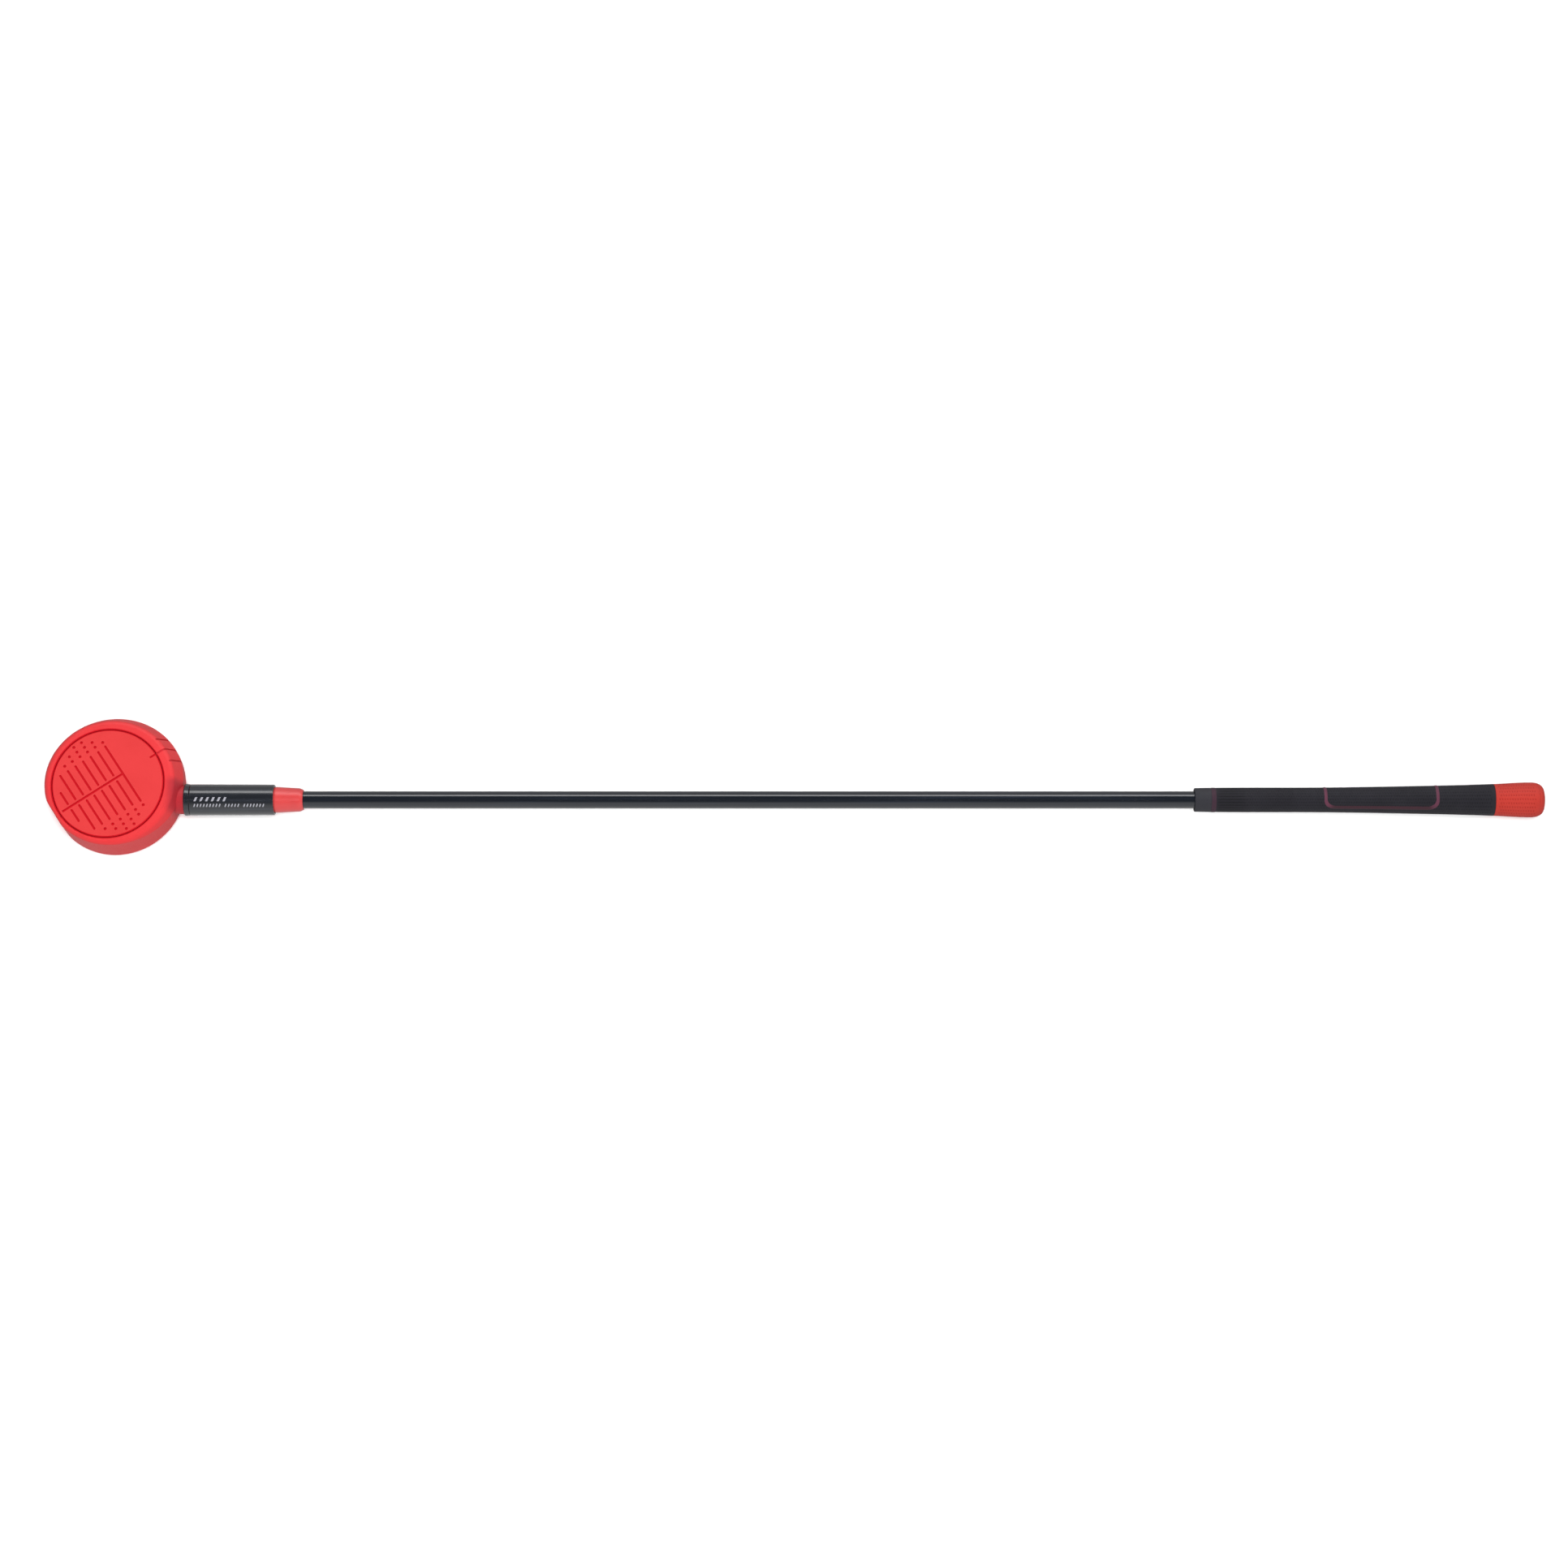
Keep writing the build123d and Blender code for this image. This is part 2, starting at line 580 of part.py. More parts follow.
# Grip --------------------------------------------------------------------------------------

with BuildPart() as grip_tape:
    tube(GRIP_MOUTH + TAPE_INSET, SHAFT_BUTT - TAPE_INSET, TAPE_RADIUS, SHAFT_FIT)
grip_tape.part.label = "grip_tape"
export_step(grip_tape.part, "parts/grip_tape.step")


def grip_skin(depth):
    """The grip's whole solid outer shape, with its side moved in by depth."""
    with BuildPart() as skin:
        with BuildSketch(SHAFT_PLANE) as outline:
            with BuildLine():
                side = Spline(
                    (GRIP_MOUTH, MOUTH_RADIUS - depth),
                    (RING_START, RING_RADIUS - depth),
                    (WAIST_STATION, WAIST_RADIUS - depth),
                    (MIDDLE_STATION, MIDDLE_RADIUS - depth),
                    (CAP_START, CAP_RADIUS - depth),
                    (CAP_WIDEST, WIDEST_RADIUS - depth),
                    tangents=((1, 0), (1, 0)),
                )
                shoulder = Spline(
                    side @ 1,
                    (BUTT_END - BUTT_BEAD / 2, WIDEST_RADIUS - BUTT_BEAD / 3 - depth),
                    (BUTT_END, WIDEST_RADIUS - BUTT_BEAD - depth),
                    tangents=((1, 0), (0, -1)),
                )
                Polyline(shoulder @ 1, (BUTT_END, 0), (GRIP_MOUTH, 0), side @ 0)
            make_face()
        revolve(outline.sketch, axis=SHAFT_AXIS)
    return skin.part


def sector(low_deg, high_deg):
    """A wedge about the shaft's axis between two angles from +Z towards +Y, as a sketch."""
    with BuildSketch(Plane(origin=(0, SHAFT_Y, SHAFT_Z), x_dir=(0, 1, 0), z_dir=(1, 0, 0))) as wedge:
        with BuildLine():
            arc = CenterArc((0, 0), SKIN_REACH, 90 - high_deg, high_deg - low_deg)
            Line((0, 0), arc @ 0)
            Line(arc @ 1, (0, 0))
        make_face()
    return wedge.sketch


skin = grip_skin(0)
under_skin = grip_skin(INLAY_DEPTH)

with BuildPart() as mouth_ring:
    tube(RING_START, RING_END, SKIN_REACH, 0)
    add(skin, mode=Mode.INTERSECT)
    add(under_skin, mode=Mode.SUBTRACT)
mouth_ring.part.label = "mouth_ring"
export_step(mouth_ring.part, "parts/mouth_ring.step")

# Hand guide: a closed band set into the grip, its long sides at two angles round the grip.
with BuildPart() as guide_window:
    opening = sector(GUIDE_LOW_DEG + GUIDE_BAND_DEG, GUIDE_HIGH_DEG - GUIDE_BAND_DEG)
    extrude(opening, amount=BUTT_END)
    tube(-1, GUIDE_START + GUIDE_WIDTH, 2 * SKIN_REACH, 0, Mode.SUBTRACT)
    tube(GUIDE_END - GUIDE_WIDTH, BUTT_END + 1, 2 * SKIN_REACH, 0, Mode.SUBTRACT)

with BuildPart() as hand_guide:
    extrude(sector(GUIDE_LOW_DEG, GUIDE_HIGH_DEG), amount=BUTT_END)
    tube(-1, GUIDE_START, 2 * SKIN_REACH, 0, Mode.SUBTRACT)
    tube(GUIDE_END, BUTT_END + 1, 2 * SKIN_REACH, 0, Mode.SUBTRACT)
    add(guide_window.part, mode=Mode.SUBTRACT)
    add(skin, mode=Mode.INTERSECT)
    add(under_skin, mode=Mode.SUBTRACT)
hand_guide.part.label = "hand_guide"
export_step(hand_guide.part, "parts/hand_guide.step")

with BuildPart() as grip_sleeve:
    tube(GRIP_MOUTH, CAP_START, SKIN_REACH, 0)
    add(skin, mode=Mode.INTERSECT)
    tube(GRIP_MOUTH - 1, CAP_START + 1, TAPE_RADIUS + FIT, 0, Mode.SUBTRACT)
    add(mouth_ring.part, mode=Mode.SUBTRACT)
    add(hand_guide.part, mode=Mode.SUBTRACT)
grip_sleeve.part.label = "grip_sleeve"
export_step(grip_sleeve.part, "parts/grip_sleeve.step")

with BuildPart() as grip_cap:
    tube(CAP_START, BUTT_END + 1, SKIN_REACH, 0)
    add(skin, mode=Mode.INTERSECT)
    tube(CAP_START - 1, SHAFT_BUTT + 1, TAPE_RADIUS + FIT, 0, Mode.SUBTRACT)
grip_cap.part.label = "grip_cap"
export_step(grip_cap.part, "parts/grip_cap.step")
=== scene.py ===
"""Swing trainer stick: looks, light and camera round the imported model.

Metres; +X runs along the shaft from head to grip, +Z up.
"""

from math import cos, pi, radians, sin, tau

import bpy
import numpy as np
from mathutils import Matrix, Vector


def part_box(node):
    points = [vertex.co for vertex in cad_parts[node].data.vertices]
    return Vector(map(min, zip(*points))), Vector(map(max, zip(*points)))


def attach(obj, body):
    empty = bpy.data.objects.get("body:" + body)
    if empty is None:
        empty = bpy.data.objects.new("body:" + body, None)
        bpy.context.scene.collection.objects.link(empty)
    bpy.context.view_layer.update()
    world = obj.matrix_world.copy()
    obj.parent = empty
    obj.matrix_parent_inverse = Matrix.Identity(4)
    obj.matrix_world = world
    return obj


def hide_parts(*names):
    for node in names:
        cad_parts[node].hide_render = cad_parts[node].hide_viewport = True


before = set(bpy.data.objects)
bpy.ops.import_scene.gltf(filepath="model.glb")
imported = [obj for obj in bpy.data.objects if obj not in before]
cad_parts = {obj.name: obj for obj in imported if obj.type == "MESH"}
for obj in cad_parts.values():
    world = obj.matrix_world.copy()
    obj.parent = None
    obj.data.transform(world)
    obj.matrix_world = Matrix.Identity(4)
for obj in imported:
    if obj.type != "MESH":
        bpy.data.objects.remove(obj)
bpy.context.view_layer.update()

MM = 0.001


def station(node, side):
    """Lowest (side 0) or highest (side 1) X of a CAD node."""
    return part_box(node)[side].x


def outer_radius(node):
    """Largest radius of a turned CAD node about the shaft's axis."""
    low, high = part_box(node)
    return (high.z - low.z) / 2


SHAFT_LOW, SHAFT_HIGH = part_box("shaft")
AXIS_Y = (SHAFT_LOW.y + SHAFT_HIGH.y) / 2
AXIS_Z = (SHAFT_LOW.z + SHAFT_HIGH.z) / 2
TOP_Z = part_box("front_cover")[1].z
UP_ANGLE = radians(33)
UP = Vector((cos(UP_ANGLE), sin(UP_ANGLE), 0))  # from the flat sole to the crown, in the face's plane
ACROSS = Vector((sin(UP_ANGLE), -cos(UP_ANGLE), 0))  # along the score lines
VIEW_TILT = radians(15.9)  # how far the camera leans from straight above, towards -Y

# Where the head's paint changes.
COVER_RADIUS = (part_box("front_cover")[1].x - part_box("front_cover")[0].x) / 2
SEAM_RADIUS = COVER_RADIUS + 0.4 * MM
RIM_WIDTH = 0.85 * MM  # how far the darker colour reaches from the seam on each side
SIGHT_SPACING = 10 * MM
SIGHT_HALF_WIDTH = 0.65 * MM
SIGHT_SIDE_START = 48 * MM
SIGHT_BOTTOM = TOP_Z / 3
NECK_SHADE_START, NECK_SHADE_END = 41 * MM, 50 * MM  # painted shade: the red is painted darker where the neck leaves the head
RING_X = station("mouth_ring", 0)

# Materials ---------------------------------------------------------------------------------


class Shader:
    """A node tree with a Principled shader and short ways to add to it."""

    def __init__(self, name, color, roughness, **sockets):
        self.material = bpy.data.materials.new(name)
        self.material.use_nodes = True
        self.tree = self.material.node_tree
        self.shader = self.tree.nodes["Principled BSDF"]
        self.shader.inputs["Base Color"].default_value = (*color, 1)
        self.shader.inputs["Roughness"].default_value = roughness
        for socket, value in sockets.items():
            self.shader.inputs[socket.replace("_", " ")].default_value = value
        self.coordinates = self.node("ShaderNodeTexCoord").outputs["Object"]

    def node(self, kind, **settings):
        """A new node with its settings."""
        made = self.tree.nodes.new(kind)
        for key, value in settings.items():
            setattr(made, key, value)
        return made

    def link(self, source, target):
        """Feeds a number or another node's output into a socket."""
        if isinstance(source, (int, float)):
            target.default_value = source
        else:
            self.tree.links.new(source, target)

    def math(self, operation, first, second=0.0):
        node = self.node("ShaderNodeMath", operation=operation)
        self.link(first, node.inputs[0])
        self.link(second, node.inputs[1])
        return node.outputs[0]

    def axis_value(self, axis):
        """Distance along a direction from the object's origin."""
        node = self.node("ShaderNodeVectorMath", operation="DOT_PRODUCT")
        self.link(self.coordinates, node.inputs[0])
        node.inputs[1].default_value = axis
        return node.outputs["Value"]

    def axis_distance(self):
        """Distance from the upright axis that the cover turns on."""
        planar = self.node("ShaderNodeVectorMath", operation="MULTIPLY")
        self.link(self.coordinates, planar.inputs[0])
        planar.inputs[1].default_value = (1, 1, 0)
        length = self.node("ShaderNodeVectorMath", operation="LENGTH")
        self.link(planar.outputs[0], length.inputs[0])
        return length.outputs["Value"]

    def step(self, value, start, end):
        """A smooth mask: 0 at start, 1 at end."""
        node = self.node("ShaderNodeMapRange", interpolation_type="SMOOTHSTEP")
        self.link(value, node.inputs["Value"])
        node.inputs["From Min"].default_value = start
        node.inputs["From Max"].default_value = end
        return node.outputs["Result"]

    def noise(self, scale, stretch=(1, 1, 1), detail=4.0):
        """Soft fractal noise from 0 to 1."""
        mapping = self.node("ShaderNodeMapping")
        mapping.inputs["Scale"].default_value = stretch
        self.link(self.coordinates, mapping.inputs["Vector"])
        node = self.node("ShaderNodeTexNoise")
        self.link(mapping.outputs[0], node.inputs["Vector"])
        node.inputs["Scale"].default_value = scale
        node.inputs["Detail"].default_value = detail
        node.inputs["Roughness"].default_value = 0.55
        return node.outputs["Fac"]

    def cells(self, scale):
        """Small round cells: distance from each cell's middle."""
        node = self.node("ShaderNodeTexVoronoi", feature="F1")
        self.link(self.coordinates, node.inputs["Vector"])
        node.inputs["Scale"].default_value = scale
        return node.outputs["Distance"]

    def tint(self, mask, color):
        """Mixes a colour over the base colour where mask is 1."""
        node = self.node("ShaderNodeMix", data_type="RGBA")
        base = self.shader.inputs["Base Color"]
        if base.is_linked:
            self.link(base.links[0].from_socket, node.inputs["A"])
        else:
            node.inputs["A"].default_value = base.default_value
        self.link(mask, node.inputs["Factor"])
        node.inputs["B"].default_value = (*color, 1)
        self.link(node.outputs["Result"], base)

    def vary_roughness(self, value, low, high):
        """Roughness from low to high as a noise value runs over its usual range."""
        node = self.node("ShaderNodeMapRange")
        self.link(value, node.inputs["Value"])
        node.inputs["From Min"].default_value = 0.3
        node.inputs["From Max"].default_value = 0.7
        node.inputs["To Min"].default_value = low
        node.inputs["To Max"].default_value = high
        self.link(node.outputs["Result"], self.shader.inputs["Roughness"])

    def bump(self, height, depth):
        """Adds relief; depth is in metres for a height of 1."""
        node = self.node("ShaderNodeBump")
        node.inputs["Strength"].default_value = 1.0
        node.inputs["Distance"].default_value = depth
        self.link(height, node.inputs["Height"])
        normal = self.shader.inputs["Normal"]
        if normal.is_linked:
            self.link(normal.links[0].from_socket, node.inputs["Normal"])
        self.link(node.outputs["Normal"], normal)


def moulded_red(name, color, shade, darken):
    """Matte red plastic with a fine moulded grain; darken paints its recesses a deeper red, and on the head
    also a painted shade round the neck.
    """
    paint = Shader(name, color, 0.5, IOR=1.46, Specular_IOR_Level=0.25)
    paint.tint(paint.step(paint.noise(35, detail=3), 0.35, 0.75), shade)
    grain = paint.noise(1400, detail=3)
    paint.vary_roughness(grain, 0.44, 0.60)
    paint.bump(grain, 0.00003)
    paint.bump(paint.noise(160, detail=2), 0.00006)
    darken(paint)
    return paint.material


def darken_cover(paint):
    """Score lines, dots and the cover's chamfered rim: all that lies just under the face."""
    height = paint.axis_value((0, 0, 1))
    below = paint.step(height, TOP_Z - 0.1 * MM, TOP_Z - 0.3 * MM)
    above = paint.step(height, TOP_Z - 1.6 * MM, TOP_Z - 1.2 * MM)
    edge = COVER_RADIUS - RIM_WIDTH
    rim = paint.step(paint.axis_distance(), edge - 0.15 * MM, edge + 0.1 * MM)
    recess = paint.math("MAXIMUM", below, rim)
    paint.tint(paint.math("MULTIPLY", recess, above), GROOVE_RED)


def darken_seam(paint, height):
    """The lip of the opening that the cover sits in."""
    edge = SEAM_RADIUS + RIM_WIDTH
    lip = paint.step(paint.axis_distance(), edge + 0.15 * MM, edge - 0.1 * MM)
    high = paint.step(height, TOP_Z - 6 * MM, TOP_Z - 5 * MM)
    paint.tint(paint.math("MULTIPLY", lip, high), GROOVE_RED)


def darken_sight_lines(paint, height):
    """The three sight lines over the crown: the middle one starts at the seam."""
    blur = 0.15 * MM
    across = paint.math("ABSOLUTE", paint.axis_value(ACROSS))
    middle = paint.step(across, SIGHT_HALF_WIDTH + blur, SIGHT_HALF_WIDTH)
    beside = paint.math("ABSOLUTE", paint.math("SUBTRACT", across, SIGHT_SPACING))
    flanks = paint.step(beside, SIGHT_HALF_WIDTH + blur, SIGHT_HALF_WIDTH)
    upward = paint.axis_value(UP)
    inner = paint.step(upward, SEAM_RADIUS - 2 * MM, SEAM_RADIUS)
    outer = paint.step(upward, SIGHT_SIDE_START - 0.3 * MM, SIGHT_SIDE_START)
    middle_line = paint.math("MULTIPLY", middle, inner)
    side_lines = paint.math("MULTIPLY", flanks, outer)
    marks = paint.math("MAXIMUM", middle_line, side_lines)
    front = paint.step(height, SIGHT_BOTTOM - 0.2 * MM, SIGHT_BOTTOM + 0.2 * MM)
    paint.tint(paint.math("MULTIPLY", marks, front), SIGHT_RED)


def paint_neck_shade(paint, height):
    """Painted shade: a soft darkening round the neck that fades out above the flat back."""
    outward = paint.step(paint.axis_value((1, 0, 0)), NECK_SHADE_START, NECK_SHADE_END)
    sideways = paint.math("ABSOLUTE", paint.math("SUBTRACT", paint.axis_value((0, 1, 0)), AXIS_Y))
    neck_shade_mask = paint.math("MULTIPLY", outward, paint.step(sideways, 16 * MM, 9 * MM))
    paint.tint(paint.math("MULTIPLY", neck_shade_mask, paint.step(height, 2 * MM, 9 * MM)), NECK_SHADE_RED)


def darken_shell(paint):
    height = paint.axis_value((0, 0, 1))
    darken_seam(paint, height)
    darken_sight_lines(paint, height)
    # painted shade round the neck
    paint_neck_shade(paint, height)


def gloss_black(name, color, roughness, streak):
    """Glossy black lacquer with fine lengthwise streaks."""
    paint = Shader(name, color, roughness, IOR=1.5, Coat_Weight=0.5, Coat_Roughness=0.12)
    lines = paint.noise(30, stretch=(0.25, 14, 14), detail=5)
    paint.tint(paint.step(lines, 0.45, 0.75), tuple(2.2 * c for c in color))
    paint.vary_roughness(lines, roughness * 0.85, roughness * 1.25)
    paint.bump(lines, streak)
    paint.bump(paint.noise(900, detail=2), 0.000004)
    return paint.material


def ferrule_red():
    """Satin red plastic with faint turning marks."""
    paint = Shader(
        "ferrule_plastic", (0.52, 0.045, 0.045), 0.34, IOR=1.49, Coat_Weight=0.1, Coat_Roughness=0.3,
    )
    paint.tint(paint.step(paint.noise(60, detail=3), 0.4, 0.8), (0.46, 0.036, 0.038))
    turned = paint.noise(120, stretch=(20, 1, 1), detail=3)
    paint.vary_roughness(turned, 0.28, 0.42)
    paint.bump(turned, 0.00002)
    return paint.material


def grip_rubber(name, color, dust, pits=None, mouth=None):
    """Moulded rubber with fine grain and a faint bloom.

    pits colours what the mesh's pit attribute marks, which on the hand guide is a painted shade on its long
    sides; mouth colours the smooth band before the ring.
    """
    paint = Shader(name, color, 0.72, IOR=1.5, Specular_IOR_Level=0.25)
    paint.tint(paint.step(paint.noise(45, detail=4), 0.35, 0.85), dust)
    grain = paint.noise(2200, detail=2)
    paint.vary_roughness(grain, 0.62, 0.82)
    paint.bump(grain, 0.00005)
    paint.bump(paint.cells(900), 0.00004)
    if mouth:
        before_ring = paint.step(paint.axis_value((1, 0, 0)), RING_X + 0.5 * MM, RING_X - 0.5 * MM)
        paint.tint(before_ring, mouth)
    if pits:
        depth = paint.node("ShaderNodeAttribute", attribute_name="pit")
        paint.tint(depth.outputs["Fac"], pits)
    return paint.material


def brushed_metal(name, color, roughness, stretch):
    """Machined metal; stretch is the direction that the tool marks cross."""
    paint = Shader(name, color, roughness, Metallic=1.0)
    marks = paint.noise(220, stretch=stretch, detail=4)
    paint.tint(paint.step(marks, 0.3, 0.8), tuple(0.75 * c for c in color))
    paint.vary_roughness(marks, roughness * 0.8, roughness * 1.4)
    paint.bump(marks, 0.00002)
    return paint.material


def moulded(name, color, shade, roughness):
    """Plain moulded plastic or rubber for the inner pieces."""
    paint = Shader(name, color, roughness)
    paint.tint(paint.step(paint.noise(50), 0.3, 0.8), shade)
    grain = paint.noise(1200, detail=3)
    paint.vary_roughness(grain, roughness * 0.85, roughness * 1.15)
    paint.bump(grain, 0.00006)
    return paint.material


def woven_tape():
    """Pale cloth tape."""
    paint = Shader("tape_fabric", (0.78, 0.75, 0.66), 0.8)
    weave = paint.cells(1400)
    paint.tint(paint.step(weave, 0.2, 0.8), (0.62, 0.58, 0.48))
    paint.vary_roughness(weave, 0.7, 0.9)
    paint.bump(weave, 0.00008)
    return paint.material


GROOVE_RED = (0.44, 0.003, 0.009)
SIGHT_RED = (0.47, 0.018, 0.026)
# painted shade where the neck leaves the head
NECK_SHADE_RED = (0.34, 0.018, 0.026)

COVER = moulded_red("cover_plastic", (0.535, 0.032, 0.0335), (0.51, 0.029, 0.030), darken_cover)
SHELL = moulded_red("head_plastic", (0.570, 0.031, 0.035), (0.54, 0.028, 0.032), darken_shell)
HOSEL = gloss_black("hosel_lacquer", (0.008, 0.0095, 0.013), 0.24, 0.000012)
SHAFT = gloss_black("shaft_lacquer", (0.004, 0.006, 0.010), 0.20, 0.000010)
FERRULE = ferrule_red()
GRIP = grip_rubber(
    "grip_black_rubber", (0.012, 0.0115, 0.015), (0.016, 0.0155, 0.020),
    pits=(0.003, 0.003, 0.004), mouth=(0.024, 0.024, 0.029),
)
GRIP_RED = grip_rubber(
    "grip_red_rubber", (0.385, 0.031, 0.022), (0.35, 0.026, 0.018), pits=(0.22, 0.010, 0.008),
)
RING_RED = grip_rubber("ring_dark_red_rubber", (0.035, 0.017, 0.027), (0.042, 0.020, 0.031))
# the guide's pits colour is the painted shade on its long sides
GUIDE_RED = grip_rubber(
    "guide_dark_red_rubber", (0.084, 0.026, 0.045), (0.098, 0.031, 0.052), pits=(0.036, 0.015, 0.021),
)
PRINT = moulded("light_grey_print", (0.31, 0.31, 0.35), (0.26, 0.26, 0.30), 0.5)
STEEL = brushed_metal("weight_steel_turned", (0.58, 0.58, 0.59), 0.30, (1, 1, 12))
BRASS = brushed_metal("brass_turned", (0.72, 0.52, 0.26), 0.26, (1, 1, 12))
CARRIER = moulded("carrier_nylon", (0.022, 0.022, 0.025), (0.035, 0.035, 0.038), 0.55)
SEAL = moulded("seal_rubber_black", (0.016, 0.016, 0.017), (0.03, 0.03, 0.03), 0.7)
NYLON = moulded("pad_nylon_natural", (0.70, 0.68, 0.60), (0.62, 0.60, 0.52), 0.45)
TAPE = woven_tape()

CAD_FINISH = {
    COVER: ["front_cover"],
    SHELL: ["head_shell"],
    CARRIER: ["inner_frame", "hosel_core"],
    STEEL: [
        "weight_disc_1", "weight_disc_2", "weight_disc_3", "frame_screws", "pad_screw",
        "hosel_pin", "counterweight", "counterweight_screw",
    ],
    BRASS: ["weight_post", "thrust_washer"],
    SEAL: ["weight_spacers", "pad_cushion", "cover_seal", "tip_plug", "butt_stop"],
    NYLON: ["pressure_pad"],
    TAPE: ["grip_tape"],
}
for material, nodes in CAD_FINISH.items():
    for name in nodes:
        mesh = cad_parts[name].data
        mesh.materials.clear()
        mesh.materials.append(material)

# Turned pieces -----------------------------------------------------------------------------


def softened(corners, reach, steps=5):
    """A closed outline of (x, r) corners with each corner rounded off over at most reach."""
    points = []
    for before, corner, after in zip(corners[-1:] + corners[:-1], corners, corners[1:] + corners[:1]):
        corner = np.array(corner)
        arms = [np.array(end) - corner for end in (before, after)]
        cuts = [corner + arm * min(reach / np.linalg.norm(arm), 0.45) for arm in arms]
        for t in np.linspace(0, 1, steps):
            points.append((1 - t) ** 2 * cuts[0] + 2 * t * (1 - t) * corner + t**2 * cuts[1])
    return points


def ring_point(x, radius, angle):
    """A point about the shaft's axis; angle 0 is straight up and grows towards +Y."""
    return (x, AXIS_Y + radius * sin(angle), AXIS_Z + radius * cos(angle))


def make_piece(name, points, faces, material, slot, replaced=()):
    """A smooth mesh on the stick, in the place of the CAD nodes that replaced names."""
    mesh = bpy.data.meshes.new(name)
    mesh.from_pydata(points, [], faces)
    mesh.validate()
    mesh.shade_smooth()
    mesh.materials.append(material)
    piece = bpy.data.objects.new(name, mesh)
    bpy.context.scene.collection.objects.link(piece)
    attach(piece, "stick")
    if replaced:
        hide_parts(*replaced)
    return piece


def wrap(rows, columns, row_loop, column_loop, flip=False):
    """Quads over a grid of points, joined round each way that loops."""
    faces = []
    for i in range(rows if row_loop else rows - 1):
        for j in range(columns if column_loop else columns - 1):
            ni, nj = (i + 1) % rows, (j + 1) % columns
            quad = (i * columns + j, i * columns + nj, ni * columns + nj, ni * columns + j)
            faces.append(quad[::-1] if flip else quad)
    return faces


def lathe(name, outline, material, segments=144, **facts):
    """A turned piece from a closed outline that runs anticlockwise in (x, r)."""
    angles = np.linspace(0, tau, segments, endpoint=False)
    points = [ring_point(x, r, a) for x, r in outline for a in angles]
    return make_piece(name, points, wrap(len(outline), segments, True, True), material, **facts)


SNUG = 0.04 * MM  # gap between a visible piece and the CAD node inside it
shaft_radius = outer_radius("shaft")
hosel_bore = outer_radius("hosel_core") + SNUG

# Shaft tube, with its wall and open ends.
wall = 1.1 * MM
low, high = station("shaft", 0), station("shaft", 1)
tube_corners = [
    (low, shaft_radius - wall), (high, shaft_radius - wall), (high, shaft_radius), (low, shaft_radius),
]
lathe("shaft_tube", softened(tube_corners, 0.3 * MM), SHAFT, replaced=["shaft"], slot="shaft_black")

# Hosel collar: a thin flare against the head.
low, high = station("hosel_collar", 0), station("hosel_collar", 1)
flare = outer_radius("hosel_collar")
sleeve_radius = outer_radius("hosel_sleeve")
collar_corners = [
    (low, hosel_bore), (high, hosel_bore), (high, sleeve_radius),
    (low + 2.4 * MM, sleeve_radius + 0.2 * MM), (low + 1.2 * MM, flare - 0.05 * MM),
    (low, flare - 0.3 * MM),
]
collar_outline = softened(collar_corners, 0.5 * MM)
lathe("hosel_flare", collar_outline, HOSEL, replaced=["hosel_collar"], slot="hosel_black")

# Hosel sleeve: a slim barrel with a shallow step at each end.
low, high = station("hosel_sleeve", 0), station("hosel_sleeve", 1)
end_radius = sleeve_radius - 0.2 * MM
barrel_low, barrel_high = low + 0.5 * MM, high - 20 * MM
barrel_end_radius = end_radius + 0.06 * MM
sleeve_corners = [
    (low, hosel_bore), (high, hosel_bore), (high, end_radius - 0.35 * MM), (high - 0.5 * MM, end_radius),
    (barrel_high, barrel_end_radius), (barrel_low, sleeve_radius), (low, sleeve_radius - 0.3 * MM),
]
sleeve_outline = softened(sleeve_corners, 0.4 * MM)
lathe("hosel_barrel", sleeve_outline, HOSEL, replaced=["hosel_sleeve"], slot="hosel_black")

# Ferrule: a slow taper with a well rounded nose.
low, high = station("ferrule", 0), station("ferrule", 1)
seat = station("hosel_sleeve", 1)
ferrule_radius = outer_radius("ferrule")
ferrule_bore = shaft_radius + SNUG
ferrule_corners = [
    (low, ferrule_bore), (high, ferrule_bore), (high, ferrule_radius - 2.3 * MM),
    (high - 2.4 * MM, ferrule_radius - 1.05 * MM), (seat + 0.9 * MM, ferrule_radius),
    (seat + 0.35 * MM, ferrule_radius - 0.45 * MM), (low, ferrule_radius - 0.45 * MM),
]
ferrule_outline = softened(ferrule_corners, 1.6 * MM, 7)
lathe("ferrule_nose", ferrule_outline, FERRULE, replaced=["ferrule"], slot="ferrule_red")

# Printed marks on the hosel: a row of slanted bars over three groups of short strokes, no lettering.
BAR_COUNT = 6
BAR_PITCH, BAR_LENGTH, BAR_HEIGHT, BAR_SLANT = 4.4 * MM, 1.7 * MM, 3.2 * MM, 1.5 * MM
BAR_ANGLE = 0.05 - VIEW_TILT  # radians round the barrel from straight up
STROKE_GROUPS = (9, 5, 7)
STROKE_PITCH, STROKE_LENGTH, STROKE_HEIGHT, STROKE_SLANT = 2.4 * MM, 0.95 * MM, 2.5 * MM, 0.8 * MM
STROKE_ANGLE = -0.36 - VIEW_TILT
GROUP_GAP = 0.9 * STROKE_PITCH
MARK_BOTTOM, MARK_TOP = -0.02 * MM, 0.035 * MM  # from the barrel's skin


def barrel_radius(x):
    return float(np.interp(x, [barrel_low, barrel_high], [sleeve_radius, barrel_end_radius]))


